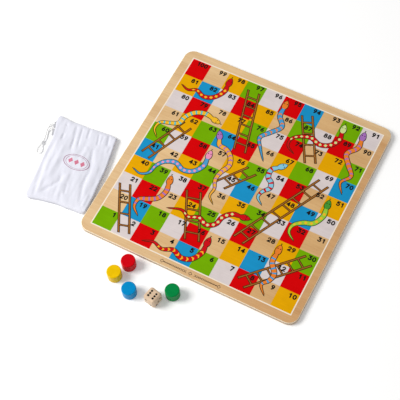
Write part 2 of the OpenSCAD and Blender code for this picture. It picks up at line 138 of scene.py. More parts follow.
table_half = 3.0
bm = bmesh.new()
bmesh.ops.create_grid(bm, x_segments=1, y_segments=1, size=table_half)
table = piece_of("table", bm)
table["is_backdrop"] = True
table_glow = 0.13
material, tree, shader = new_material(
    "table_white",
    Base_Color=(0.985, 0.985, 0.985, 1),
    Roughness=0.6,
    Specular_IOR_Level=0.1,
    Emission_Color=(1, 1, 1, 1),
)
seen = put(tree, "ShaderNodeLightPath").outputs["Is Camera Ray"]
glow = maths(tree, "MULTIPLY", seen, table_glow)
tree.links.new(glow, shader.inputs["Emission Strength"])
wear(table, material)

lamp_data = bpy.data.lights.new("key_lamp", "AREA")
lamp_data.shape = "SQUARE"
lamp_data.size = 1.04
lamp_data.energy = 42.0
lamp_data.color = (1.0, 0.985, 0.965)
lamp = add_object("key_lamp", lamp_data)
lamp_place = Vector((-1.42, -0.744, 1.52))
lamp_facing = lamp_place.to_track_quat("Z", "Y").to_matrix().to_4x4()
lamp.matrix_world = Matrix.Translation(lamp_place) @ lamp_facing

room_light, room_seen = 0.42, 1.0
world = bpy.data.worlds.new("pale_room")
bpy.context.scene.world = world
world.use_nodes = True
tree = world.node_tree
tree.nodes.clear()
seen = put(tree, "ShaderNodeLightPath").outputs["Is Camera Ray"]
strength = ramp(tree, seen, 0.0, 1.0, room_light, room_seen)
sky = put(tree, "ShaderNodeBackground", {"Color": (0.985, 0.99, 1.0, 1), "Strength": strength})
put(tree, "ShaderNodeOutputWorld", {"Surface": sky.outputs[0]})

camera_data = bpy.data.cameras.new("camera")
camera_data.sensor_width = 36
camera_data.lens = 99.86
camera = add_object("camera", camera_data)
camera_place = Vector((0.30148, -0.55418, 1.16102))
camera_right = Vector((0.8847006, 0.46360859, -0.04870239))
camera_up = Vector((-0.39158827, 0.79579049, 0.46192652))
camera_back = Vector((0.25291, -0.38959539, 0.88558002))
camera_facing = Matrix((camera_right, camera_up, camera_back)).transposed().to_4x4()
camera.matrix_world = Matrix.Translation(camera_place) @ camera_facing
bpy.context.scene.camera = camera
bpy.context.scene.view_settings.view_transform = "Standard"


# The board's plies
# Five veneers of pale beech, glued crosswise. The face turns browner towards the
# right. Its rim is sanded round, and there a painted highlight makes it pale. The
# edge shows the plies' long grain and end grain in turn.


def new_group(name, inputs, outputs):
    """A node group, with inputs (label, kind, value) and outputs (label, kind).

    Gives the group, the sockets that hold what it is given, and those it fills.
    """
    group = bpy.data.node_groups.new(name, "ShaderNodeTree")
    for label, kind, value in inputs:
        socket = group.interface.new_socket(label, in_out="INPUT", socket_type="NodeSocket" + kind)
        socket.default_value = value
    for label, kind in outputs:
        group.interface.new_socket(label, in_out="OUTPUT", socket_type="NodeSocket" + kind)
    return group, put(group, "NodeGroupInput").outputs, put(group, "NodeGroupOutput").inputs


def fill(group, filled, **values):
    """Links each value to the group's output of its name."""
    for label, value in values.items():
        group.links.new(value, filled[label])


def use_group(tree, group, inputs=None):
    return put(tree, "ShaderNodeGroup", inputs, node_tree=group)


def point_place(tree):
    return put(tree, "ShaderNodeTexCoord").outputs["Object"]


def split(tree, place):
    """The X, Y and Z of a place."""
    return put(tree, "ShaderNodeSeparateXYZ", {0: place}).outputs


def scaled_noise(tree, place, scales, detail, roughness=0.55):
    """Noise on a place stretched by three scales."""
    stretched = put(tree, "ShaderNodeVectorMath", {0: place, 1: scales}, operation="MULTIPLY")
    field = put(
        tree,
        "ShaderNodeTexNoise",
        {"Vector": stretched.outputs[0], "Scale": 1.0, "Detail": detail, "Roughness": roughness},
    )
    return field.outputs["Fac"]


def mix_colour(tree, factor, a, b):
    return put(tree, "ShaderNodeMix", {0: factor, 6: a, 7: b}, data_type="RGBA").outputs[2]


def dress(tree, shader, surface, bump, depth=0.2 * mm):
    """Gives a shader the colour, roughness and relief that a surface group puts out."""
    relief = put(
        tree,
        "ShaderNodeBump",
        {"Height": surface.outputs["Height"], "Strength": bump, "Distance": depth},
    )
    tree.links.new(surface.outputs["Color"], shader.inputs["Base Color"])
    if "Roughness" in surface.outputs:
        tree.links.new(surface.outputs["Roughness"], shader.inputs["Roughness"])
    tree.links.new(relief.outputs[0], shader.inputs["Normal"])


wood_group, given, filled = new_group(
    "Beech grain",
    [
        ("Place", "Vector", (0, 0, 0)),
        ("Light", "Color", (1, 1, 1, 1)),
        ("Dark", "Color", (0, 0, 0, 1)),
    ],
    [("Color", "Color"), ("Roughness", "Float"), ("Height", "Float")],
)
streak_scales, streak_detail, streak_roughness = (42, 900, 900), 3.0, 0.62
bands = scaled_noise(wood_group, given["Place"], (7, 62, 62), 2.0)
streaks = scaled_noise(wood_group, given["Place"], streak_scales, streak_detail, streak_roughness)
fibres = scaled_noise(wood_group, given["Place"], (190, 3400, 3400), 2.0)
pores = scaled_noise(wood_group, given["Place"], (260, 1900, 1900), 1.0)
flecks = ramp(wood_group, pores, 0.64, 0.74)
shade = maths(wood_group, "MULTIPLY_ADD", ramp(wood_group, bands, 0.3, 0.7), 0.42, 0.0)
shade = maths(wood_group, "MULTIPLY_ADD", ramp(wood_group, streaks, 0.3, 0.72), 0.40, shade)
shade = maths(wood_group, "MULTIPLY_ADD", flecks, 0.30, shade)
fill(
    wood_group,
    filled,
    Color=mix_colour(wood_group, shade, given["Light"], given["Dark"]),
    Roughness=ramp(wood_group, streaks, 0.3, 0.7, 0.36, 0.46),
    Height=maths(wood_group, "MULTIPLY_ADD", fibres, 0.5, streaks),
)


def wood_material(name, light, dark, turn=(0, 0, 0), bump=0.12, coat=0.0):
    """Beech with its grain along X, turned where the piece is cut another way."""
    material, tree, shader = new_material(
        name, Specular_IOR_Level=0.4, Coat_Weight=coat, Coat_Roughness=0.3
    )
    turned = put(tree, "ShaderNodeMapping", {"Vector": point_place(tree), "Rotation": turn})
    grain = use_group(
        tree, wood_group, {"Place": turned.outputs[0], "Light": light, "Dark": dark}
    )
    dress(tree, shader, grain, bump)
    return material


def base_colour(material):
    """A material's node tree, its Base Color socket, and the colour that goes in there."""
    tree = material.node_tree
    socket = tree.nodes["Principled BSDF"].inputs["Base Color"]
    return tree, socket, socket.links[0].from_socket


def towards_heart(tree, colour, browner_share, tint):
    """The veneer's colour, tinted browner by the given share."""
    shade = mix_colour(tree, browner_share, (1, 1, 1, 1), tint)
    tinted = put(tree, "ShaderNodeVectorMath", {0: colour, 1: shade}, operation="MULTIPLY")
    return tinted.outputs[0]


face_wood = wood_material(
    "face_veneer_beech", srgb(234, 201, 153), srgb(203, 161, 110), coat=0.25
)
tree, socket, colour = base_colour(face_wood)
spot = split(tree, point_place(tree))
to_right = ramp(tree, spot["X"], -50 * mm, 90 * mm)
off_far_edge = ramp(tree, spot["Y"], 132 * mm, 118 * mm)
browner_share = maths(tree, "MULTIPLY", to_right, off_far_edge)
colour = towards_heart(tree, colour, browner_share, (0.87, 0.73, 0.60, 1))
# Painted highlight: a band about 5.5 mm up, on the eased rim, goes three quarters to pale cream.
rim_z, rim_half = 5.5 * mm, 0.46 * mm
rim_highlight = maths(tree, "COMPARE", spot["Z"], rim_z, rim_half)
pale = maths(tree, "MULTIPLY", rim_highlight, 0.75)
tree.links.new(mix_colour(tree, pale, colour, srgb(250, 238, 214)), socket)
for name in ("face_veneer", "back_veneer"):
    wear(nodes[name], face_wood)

end_grain = (0, 0, math.pi / 2)
cross_wood = wood_material(
    "crossband_end_grain", srgb(192, 172, 146), srgb(168, 146, 120), end_grain
)
for name in ("upper_crossband", "lower_crossband"):
    wear(nodes[name], cross_wood)
core_wood = wood_material("core_long_grain", srgb(206, 187, 160), srgb(184, 161, 133))
wear(nodes["core_ply"], core_wood)


# The printed squares and the line round them
# One thin film of ink for each colour, screen printed on the veneer, so the
# grain shows faintly through. The bare squares carry clear lacquer alone, and
# their veneer turns a little browner towards the right.


def toned(tree, colour, tone):
    """A colour made lighter or darker by a tone near 1."""
    scaled = put(tree, "ShaderNodeVectorMath", {0: colour, "Scale": tone}, operation="SCALE")
    return scaled.outputs[0]


ink_group, given, filled = new_group(
    "Ink film",
    [("Color", "Color", (1, 1, 1, 1)), ("Show", "Float", 0.05)],
    [("Color", "Color"), ("Roughness", "Float"), ("Height", "Float")],
)
place = point_place(ink_group)
streaks = scaled_noise(ink_group, place, streak_scales, streak_detail, streak_roughness)
clouds = scaled_noise(ink_group, place, (90, 90, 90), 3.0)
specks = scaled_noise(ink_group, place, (1500, 1500, 1500), 1.0)
streak_tone = ramp(ink_group, streaks, 0.3, 0.7, -1.0, 1.0)
cloud_tone = ramp(ink_group, clouds, 0.3, 0.7, -1.0, 1.0)
tone = maths(ink_group, "ADD", streak_tone, cloud_tone)
tone = maths(ink_group, "MULTIPLY_ADD", tone, given["Show"], 1.0)
fill(
    ink_group,
    filled,
    Color=toned(ink_group, given["Color"], tone),
    Roughness=ramp(ink_group, clouds, 0.3, 0.7, 0.34, 0.44),
    Height=maths(ink_group, "MULTIPLY_ADD", specks, 0.6, streaks),
)


def ink_material(name, colour=None, layers=None, show=0.035):
    """Ink of one colour, or of the colours that a layer group gives."""
    material, tree, shader = new_material(name, Specular_IOR_Level=0.05)
    film = use_group(tree, ink_group, {"Show": show})
    if layers:
        group, colours = layers
        tree.links.new(use_group(tree, group, colours).outputs[0], film.inputs["Color"])
    else:
        film.inputs["Color"].default_value = colour
    dress(tree, shader, film, 0.06)
    return material


lacquered = wood_material("lacquered_beech", srgb(238, 204, 153), srgb(208, 166, 113), coat=0.25)
tree, socket, colour = base_colour(lacquered)
across_board = split(tree, point_place(tree))["X"]
browner_share = ramp(tree, across_board, -110 * mm, 80 * mm)
tree.links.new(towards_heart(tree, colour, browner_share, (0.89, 0.80, 0.67, 1)), socket)
wear(nodes["bare_squares"], lacquered)

for name, colour in (
    ("white", srgb(217, 206, 205)),
    ("red", srgb(212, 0, 4)),
    ("yellow", srgb(229, 166, 0)),
    ("green", srgb(113, 170, 0)),
    ("blue", srgb(26, 144, 197)),
):
    wear(nodes[name + "_squares"], ink_material(name + "_ink", colour))
wear(nodes["field_line"], ink_material("line_ink", srgb(242, 229, 212)))


# The ladders and the snakes
# Their outline is printed first, then the body's colour, the marks, the head
# and the eyes, each a film higher, so the height alone tells the colour.

layer_names = ("Outline", "Body", "Marks", "Head", "Eyes")
body_above, film_step = 6.225 * mm, 0.05 * mm
layer_group, given, filled = new_group(
    "Print layers",
    [(label, "Color", (0, 0, 0, 1)) for label in layer_names],
    [("Color", "Color")],
)
height = split(layer_group, point_place(layer_group))["Z"]
colour = given["Outline"]
for k, label in enumerate(layer_names[1:]):
    higher = maths(layer_group, "GREATER_THAN", height, body_above + film_step * k)
    colour = mix_colour(layer_group, higher, colour, given[label])
fill(layer_group, filled, Color=colour)

snake_inks = {
    "scarlet": srgb(204, 14, 24),
    "tangerine": srgb(232, 128, 44),
    "amber": srgb(240, 172, 62),
    "gold": srgb(242, 186, 40),
    "lime": srgb(152, 202, 60),
    "pale green": srgb(204, 224, 146),
    "leaf green": srgb(70, 150, 52),
    "teal": srgb(92, 190, 198),
    "ice": srgb(132, 198, 222),
    "sky blue": srgb(76, 156, 206),
    "violet": srgb(166, 112, 186),
    "pink": srgb(236, 148, 186),
}
outline_ink = srgb(28, 34, 18)
eye_ink = srgb(20, 20, 18)
# The inks of each snake's body, its marks and its head
snakes = {
    "snake_98_to_81": ("scarlet", "gold", "scarlet"),
    "snake_78_to_60": ("gold", "teal", "gold"),
    "snake_57_to_40": ("sky blue", "pink", "pink"),
    "snake_64_to_36": ("amber", "violet", "violet"),
    "snake_38_to_19": ("tangerine", "violet", "tangerine"),
    "snake_34_to_23": ("scarlet", "pale green", "scarlet"),
    "snake_15_to_3": ("scarlet", "gold", "scarlet"),
    "snake_51_to_32": ("lime", "gold", "leaf green"),
    "snake_29_to_9": ("tangerine", "sky blue", "tangerine"),
    "snake_91_to_70": ("tangerine", "violet", "violet"),
    "snake_67_to_47": ("ice", "scarlet", "ice"),
    "snake_95_to_66": ("sky blue", "tangerine", "tangerine"),
    "snake_92_to_74": ("scarlet", "pale green", "pale green"),
}
for name, inks in snakes.items():
    drawn = [snake_inks[ink] for ink in inks]
    colours = dict(zip(layer_names, (outline_ink, *drawn, eye_ink)))
    wear(nodes[name], ink_material(name + "_ink", layers=(layer_group, colours)))

ladder_colours = dict.fromkeys(layer_names, srgb(160, 102, 42))
ladder_colours["Outline"] = srgb(48, 27, 10)
ladder_ink = ink_material("ladder_ink", layers=(layer_group, ladder_colours), show=0.10)
for name in nodes:
    if name.startswith("ladder_"):
        wear(nodes[name], ladder_ink)


# The numbers of the squares and the flourish on the near border
# Black ink, printed last, over the ladders. Each figure is drawn with a round
# pen: its strokes are flat bars with round ends and a slightly raised back.

cell = 25.8 * mm
field = 10 * cell
figure_w, figure_h, figure_gap = 4.7 * mm, 5.9 * mm, 0.4 * mm
pen, pen_crown = 0.72 * mm, 0.02 * mm
number_low, number_top = 6.08 * mm, 6.27 * mm
number_foot = 17.95 * mm
number_end_mm = {1: 21.9, 2: 23.0, 3: 22.2}
hundred_shift = 0.6 * mm


def arc(cx, cy, rx, ry, start, end, steps=14):
    """Points of an ellipse's arc, from start to end in degrees."""
    angles = [math.radians(start + (end - start) * k / steps) for k in range(steps + 1)]
    return [(cx + rx * math.cos(a), cy + ry * math.sin(a)) for a in angles]


# The strokes of each figure, in shares of its width and height
figures = {
    "0": [arc(0.5, 0.5, 0.34, 0.40, 0, 360, 24)],
    "1": [[(0.26, 0.72), (0.56, 0.90)], [(0.56, 0.90), (0.56, 0.10)]],
    "2": [
        arc(0.49, 0.66, 0.32, 0.24, 165, -35) + [(0.16, 0.10)],
        [(0.16, 0.10), (0.84, 0.10)],
    ],
    "3": [
        [(0.18, 0.90), (0.80, 0.90)],
        [(0.80, 0.90), (0.46, 0.58)],
        arc(0.46, 0.34, 0.36, 0.24, 90, -150),
    ],
    "4": [
        [(0.66, 0.10), (0.66, 0.90)],
        [(0.66, 0.90), (0.12, 0.32)],
        [(0.12, 0.32), (0.88, 0.32)],
    ],
    "5": [
        [(0.80, 0.90), (0.28, 0.90)],
        [(0.28, 0.90), (0.22, 0.54)],
        arc(0.47, 0.36, 0.35, 0.26, 125, -150),
    ],
    "6": [
        [(0.68, 0.91), (0.50, 0.80), (0.34, 0.64), (0.22, 0.42)],
        arc(0.51, 0.32, 0.30, 0.225, 0, 360, 22),
    ],
    "7": [[(0.16, 0.90), (0.84, 0.90)], [(0.84, 0.90), (0.38, 0.10)]],
    "8": [arc(0.50, 0.71, 0.27, 0.19, 0, 360, 20), arc(0.50, 0.31, 0.34, 0.21, 0, 360, 22)],
    "9": [
        [(0.32, 0.09), (0.50, 0.20), (0.66, 0.36), (0.78, 0.58)],
        arc(0.49, 0.68, 0.30, 0.225, 0, 360, 22),
    ],
}


def pen_stroke(bm, points, radius, low, high):
    """A bar with round ends along a line of points, printed up to high."""
    closed = (points[0] - points[-1]).length < 1e-7
    line = []
    for k, point in enumerate(points):
        ahead = points[min(k + 1, len(points) - 1)]
        behind = points[max(k - 1, 0)]
        if closed and k in (0, len(points) - 1):
            ahead, behind = points[1], points[-2]
        line.append((point, (ahead - behind).normalized(), radius))
    if not closed:
        start, way = line[0][0], line[0][1]
        end, out = line[-1][0], line[-1][1]
        turns = [math.radians(a) for a in (85, 60, 30)]
        caps = [(math.sin(turn) * radius, math.cos(turn) * radius) for turn in turns]
        line = (
            [(start - way * reach, way, half) for reach, half in caps]
            + line
            + [(end + out * reach, out, half) for reach, half in reversed(caps)]
        )
    shoulder = high - pen_crown
    rows = []
    for point, way, half in line:
        side = Vector((-way.y, way.x))
        section = [(half, low), (half, shoulder), (0, high), (-half, shoulder), (-half, low)]
        rows.append([bm.verts.new((*(point + side * reach), z)) for reach, z in section])
    for a, b in zip(rows, rows[1:]):
        for k in range(len(a) - 1):
            bm.faces.new((a[k], b[k], b[k + 1], a[k + 1]))


bm = bmesh.new()
for number in range(1, 101):
    row, column = divmod(number - 1, 10)
    column = 9 - column if row % 2 else column
    text = str(number)
    advance = figure_w + figure_gap
    right = column * cell + number_end_mm[len(text)] * mm - field / 2
    low = row * cell + number_foot - field / 2
    for k, figure in enumerate(text):
        left = right - advance * (len(text) - k) + figure_gap
        if text == "100" and figure == "1":
            left += hundred_shift
        for stroke in figures[figure]:
            points = [Vector((left + x * figure_w, low + y * figure_h)) for x, y in stroke]
            pen_stroke(bm, points, pen, number_low, number_top)
square_numbers = piece_of("square_numbers", bm)
wear(square_numbers, ink_material("number_ink", srgb(26, 22, 20), show=0.08))
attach(square_numbers, "board")

flourish = Vector((5.4, -134.6)) * mm
flourish_pen = 0.26 * mm
flourish_low, flourish_top = 5.98 * mm, 6.05 * mm
wave_from_mm, wave_step_mm, wave_mm = 5.2, 0.35, 1.15
wave_steps, steps_to_fade = 84, 110
diamond_mm, diamond_places_mm = 2.0, (-36.5, 0, 36.5)
bm = bmesh.new()
for side in (-1, 1):
    for phase in (0, math.pi):
        wave = []
        for k in range(wave_steps):
            away = side * (wave_from_mm + wave_step_mm * k)
            up = wave_mm * math.cos(phase + k * math.pi / 10) * (1 - k / steps_to_fade)
            wave.append(flourish + Vector((away, up)) * mm)
        pen_stroke(bm, wave, flourish_pen, flourish_low, flourish_top)
for offset in diamond_places_mm:
    corners = []
    for x, y in ((1, 0), (0, 1), (-1, 0), (0, -1), (1, 0)):
        corners.append(Vector((offset + diamond_mm * x, diamond_mm * y)) * mm + flourish)
    for tip, tail in zip(corners, corners[1:]):
        pen_stroke(bm, [tip, tail], flourish_pen, flourish_low, flourish_top)
border_flourish = piece_of("border_flourish", bm)
wear(border_flourish, ink_material("flourish_ink", srgb(70, 52, 40), show=0.08))
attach(border_flourish, "board")


# The counters
# Turned from beech rod and dipped in gloss paint, which sags a little down the
# sides and closes over the grain.

paint_group, given, filled = new_group(
    "Dipped paint",
    [("Place", "Vector", (0, 0, 0)), ("Color", "Color", (1, 1, 1, 1))],
    [("Color", "Color"), ("Roughness", "Float"), ("Height", "Float")],
)
sags = scaled_noise(paint_group, given["Place"], (160, 160, 90), 2.0)
tone = ramp(paint_group, sags, 0.3, 0.7, 0.95, 1.03)
fill(
    paint_group,
    filled,
    Color=toned(paint_group, given["Color"], tone),
    Roughness=ramp(paint_group, sags, 0.3, 0.7, 0.22, 0.32),
    Height=sags,
)

gloss = {"Specular_IOR_Level": 0.07, "Coat_Weight": 0.03, "Coat_Roughness": 0.25}
for name, paint in (
    ("red_counter", srgb(208, 0, 16)),
    ("yellow_counter", srgb(236, 192, 0)),
    ("blue_counter", srgb(0, 138, 200)),
    ("green_counter", srgb(0, 132, 64)),
):
    material, tree, shader = new_material(name + "_paint", **gloss)
    skin = use_group(tree, paint_group, {"Place": point_place(tree), "Color": paint})
    dress(tree, shader, skin, 0.03, 0.3 * mm)
    wear(nodes[name], material)


# The die
# A bare beech cube, tumbled smooth, with black paint in its drilled pips. The
# paint has spread a little past the rim of each pip.

die_turn = math.radians(-12)
grain_turn = (math.radians(90), -die_turn, 0)
die_wood = wood_material(
    "die_beech", srgb(226, 200, 170), srgb(202, 170, 138), grain_turn, bump=0.18
)
wear(nodes["die"], die_wood)
pip_paint = ink_material("pip_paint", srgb(18, 17, 17), show=0.05)
wear(nodes["die_pips"], pip_paint)


def linked_groups(bm):
    """Lists of the vertices that edges join, in the order of the mesh."""
    found = set()
    for first in bm.verts:
        if first in found:
            continue
        found.add(first)
        group = [first]
        for vert in group:
            others = [edge.other_vert(vert) for edge in vert.link_edges]
            fresh = [other for other in others if other not in found]
            found.update(fresh)
            group += fresh
        yield group


low, high = (Vector(corner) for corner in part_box("die"))
die_centre = (low + high) / 2
die_half = (high.z - low.z) / 2
square_on = Matrix.Rotation(die_turn, 3, "Z")
ways = [square_on @ Vector(way) for way in ((1, 0, 0), (0, 1, 0), (0, 0, 1))]
rim_mm = ((1.12, -0.03), (1.12, 0.02), (1.30, 0.02), (1.33, -0.03))
rim_steps = 24
merge_within = 0.001 * mm
drilled = bmesh.new()
drilled.from_mesh(nodes["die_pips"].data)
bm = bmesh.new()
# The frame gives a pip's wall and its two ends unjoined, and each gets a rim. The
# ends' rims merge into one, and the wall's lies 0.03 mm beside it.
for face_verts in linked_groups(drilled):
    middle = sum((vert.co for vert in face_verts), Vector()) / len(face_verts) - die_centre
    out = max(ways, key=lambda way: abs(middle.dot(way)))
    sideways = next(way for way in ways if way is not out)
    out = out if middle.dot(out) > 0 else -out
    middle += out * (die_half - middle.dot(out)) + die_centre
    rim = []
    for reach, height in rim_mm:
        rim.append(bm.verts.new(middle + (sideways * reach + out * height) * mm))
    hoop = [bm.edges.new(pair) for pair in zip(rim, rim[1:] + rim[:1])]
    bmesh.ops.spin(
        bm,
        geom=rim + hoop,
        cent=middle,
        axis=out,
        angle=2 * math.pi,
        steps=rim_steps,
        use_merge=True,
    )
drilled.free()
bmesh.ops.remove_doubles(bm, verts=bm.verts, dist=merge_within)
bmesh.ops.recalc_face_normals(bm, faces=bm.faces)
pip_rims = piece_of("pip_rims", bm)
wear(pip_rims, pip_paint)
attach(pip_rims, "die")


# The drawstring bag
# White cotton, two panels sewn at the sides and the bottom. The hem at its
# mouth is gathered on the cord, and its folds run down over the puffed body.

bag_turn = math.radians(10)
bag_corner = Vector((-142.5 * mm, -119 * mm, 0))
bag_place = Matrix.Translation(bag_corner) @ Matrix.Rotation(bag_turn, 4, "Z")
bag_w_mm, left_side_mm, right_side_mm = 78, 116, 105

# The bag's outline: where a point stands along each side, and where the cloth lies
left_edge_mm = [
    (0, -77), (4, -79), (11, -78.4), (42, -77.2), (68, -76.8),
    (84, -75.9), (94, -77.4), (108, -79.8), (116, -78.6),
]
right_edge_mm = [(0, 0.2), (3, 1.3), (14, 2.4), (28, 3.6), (64, 5.0), (100, 3.6), (105, 3.0)]
mouth_mm = [(0, 117), (0.3, 111.8), (0.6, 108.8), (0.86, 107.2), (1, 104.8)]
bottom_mm = [(0, -0.8), (0.24, 0.5), (0.49, 0.6), (0.75, -1.5), (0.94, -2.8), (1, -2.6)]


def smooth(value):
    """Eases from 0 to 1, and stays there past both ends."""
    value = min(max(value, 0.0), 1.0)
    return value * value * (3 - 2 * value)


def along(table, at):
    """Reads a table of (place, value) rows smoothly."""
    if at <= table[0][0]:
        return table[0][1]
    for (a, low), (b, high) in zip(table, table[1:]):
        if at <= b:
            return low + (high - low) * smooth((at - a) / (b - a))
    return table[-1][1]


# Folds: points along the fold on the bag, in mm, then its width and its height
folds_mm = [
    (((-64.5, 110), (-62.5, 97), (-63, 84)), 1.4, -1.7),
    (((-51, 109), (-48, 90), (-46, 70)), 1.7, -1.9),
    (((-43, 108), (-41, 90), (-40, 80)), 1.3, -1.6),
    (((-33.5, 108), (-32.5, 94)), 1.4, -1.5),
    (((-20.5, 105), (-17, 88)), 1.4, -1.5),
    (((-14, 104), (-14, 90)), 1.2, -1.1),
    (((-8, 106), (-5, 90)), 1.4, -1.5),
    (((-69, 79), (-72, 61), (-71.5, 43), (-68.5, 11), (-67, 2)), 2.6, -1.3),
    (((-45, 41), (-44, 29), (-51, 20), (-61, 9.5)), 2.3, -1.6),
    (((-33.5, 29), (-32, 13)), 2.0, -1.4),
    (((-21.5, 85), (-17.5, 69), (-13.5, 51), (-15, 33), (-10, 6)), 2.8, -1.7),
    (((1, 92), (-1.6, 81)), 1.5, -1.0),
    (((-36, 44), (-39.5, 25), (-40, 6)), 2.6, 1.5),
    (((-5.5, 62), (-9, 39), (-10, 20)), 2.4, 1.3),
    (((-4, 22), (-5.5, 3)), 1.8, 1.3),
    (((-66.5, 60), (-66.5, 43), (-64, 11), (-62.5, 4)), 2.6, 1.0),
    (((-57, 80), (-57, 55), (-59, 30)), 3.2, 1.2),
    (((-28, 84), (-30, 60)), 3.0, 1.1),
]


def fold_height(x, y):
    """Sum of the folds at a point of the top layer, in mm."""
    total = 0.0
    here = Vector((x, y))
    for points, width, height in folds_mm:
        run = [Vector(p) for p in points]
        whole = sum((q - p).length for p, q in zip(run, run[1:]))
        nearest, place, gone = 1e9, 0.0, 0.0
        for p, q in zip(run, run[1:]):
            way = q - p
            at = min(max((here - p).dot(way) / way.length_squared, 0.0), 1.0)
            away = (p + way * at - here).length
            if away < nearest:
                nearest, place = away, gone + at * way.length
            gone += way.length
        ends = smooth(0.25 + 4 * place / whole) * smooth(0.25 + 4 * (whole - place) / whole)
        total += height * ends * math.exp(-((nearest / width) ** 2))
    return total


def wrinkles(x, y):
    """Small uneven waves of the cloth, broad ones and fine ones."""
    broad = noise.noise(Vector((x * 0.11, y * 0.06, 3.1)))
    fine = noise.noise(Vector((x * 0.3, y * 0.1, 7.7)))
    return broad + 0.5 * fine


# The drawstring's channel in the hem, from its left end
hem_turn = math.radians(8.2)
hem_x_mm, hem_y_mm = -80, 94
channel_mm, channel_low_mm, channel_high_mm = 78.8, 1.6, 13.4
over_cord_mm = 4.9


def over_cord(x, y, z):
    """Keeps the top layer clear of the drawstring in its channel."""
    dx, dy = x - hem_x_mm, y - hem_y_mm
    along_hem = dx * math.cos(hem_turn) - dy * math.sin(hem_turn)
    up_hem = dx * math.sin(hem_turn) + dy * math.cos(hem_turn)
    if along_hem < channel_mm and channel_low_mm < up_hem < channel_high_mm:
        return max(z, over_cord_mm)
    return z


# The bag's height: a seam, a steep side and a puffed top. The slot's two lips
# are given as a step across and a height.
across_steps, under_steps, up_steps = 68, 34, 92
ring_steps = across_steps + under_steps
corner_round_mm, corner_share = 3.2, 0.035
side_round_mm, foot_round_mm, under_round_mm = 2.4, 6, 3.5
seam_mm, under_mm, least_mm = 3.2, 0.5, 1.4
puff_mm, puff_right_mm, puff_hem_mm = 5.6, 1.6, -0.5
below_hem_mm, hem_ease_mm = 16, 20
brim_mm, fold_ease_mm, hem_seam_half_mm, side_seam_mm = 7, 5, 0.65, 1
slot_from_mm, slot_to_mm = 88, 109
upper_lip_mm, lower_lip_mm = (3.0, 3.2), (-5.0, 0.9)
slot_shade, foot_shade, foot_shade_shares = 0.7, 0.3, (0.02, 0.9)
cut_longer, cut_wider, cut_wider_up = 1.05, 1.10, 0.05
wider_from_mm, wider_ease_mm = 60, 30
start, flat, held, shade_at = [], [], [], {}
for j in range(up_steps + 1):
    v = j / up_steps
    for i in range(ring_steps):
        on_top = i <= across_steps
        u = i / across_steps if on_top else 1 - (i - across_steps) / under_steps
        top_y = along(mouth_mm, u)
        low_y = along(bottom_mm, u)
        y = low_y + v * (top_y - low_y)
        corner = corner_round_mm * max(0.0, 1 - v / corner_share) ** 2
        left = along(left_edge_mm, v * left_side_mm) + corner
        right = along(right_edge_mm, v * right_side_mm) - corner
        x = left + (right - left) * u
        hem_line = hem_y_mm - (x - hem_x_mm) * math.tan(hem_turn)
        edge, foot, head = min(u, 1 - u) * bag_w_mm, y - low_y, top_y - y
        sides = math.sqrt(1 - (1 - min(edge / side_round_mm, 1)) ** 2)
        ends = math.sqrt(1 - (1 - min(foot / foot_round_mm, 1)) ** 2)
        brim = smooth(0.3 + head / brim_mm)
        near_hem = smooth((y - hem_line + below_hem_mm) / hem_ease_mm)
        full = puff_mm + puff_right_mm * u + puff_hem_mm * near_hem
        joint = seam_mm * (0.55 + 0.45 * ends)
        crest = 0.7 * fold_height(x, y) + 0.6 * wrinkles(x, y)
        crest = crest * smooth(edge / fold_ease_mm) * smooth(foot / fold_ease_mm)
        z = joint + (full - joint) * sides * ends * (0.5 + 0.5 * brim) + crest
        z = over_cord(x, y, max(z, least_mm)) if edge > side_seam_mm else joint
        if not on_top:
            lift = 1 - smooth(min(edge, foot) / under_round_mm)
            z = under_mm + (joint - under_mm) * lift
        in_slot = slot_from_mm < y < slot_to_mm
        if in_slot and i == 0:
            x, z = x + upper_lip_mm[0], upper_lip_mm[1]
        if in_slot and i == ring_steps - 1:
            x, z = left + lower_lip_mm[0], lower_lip_mm[1]
        start.append(Vector((x, y, z)))
        # Painted shade: the slot's two lips and the top layer's bottom row are darkened.
        if in_slot and i in (0, ring_steps - 1):
            shade_at[len(start) - 1] = slot_shade
        elif j == 0 and on_top and foot_shade_shares[0] < u < foot_shade_shares[1]:
            shade_at[len(start) - 1] = foot_shade
        # The cloth is cut wider and longer than the bag lies, so it buckles
        room = cut_wider + cut_wider_up * smooth((y - wider_from_mm) / wider_ease_mm)
        cut_x = left + (right - left) * 0.5 + (right - left) * (u - 0.5) * room
        flat.append(Vector((cut_x, y * cut_longer, 0.0)))
        near_seam = abs(y - hem_line) < hem_seam_half_mm
        held.append(not on_top or i in (0, across_steps) or j in (0, up_steps) or near_seam)

bag_faces = []
for j in range(up_steps):
    for i in range(ring_steps):
        n = (i + 1) % ring_steps
        low, high = j * ring_steps, (j + 1) * ring_steps
        bag_faces.append((low + i, low + n, high + n, high + i))


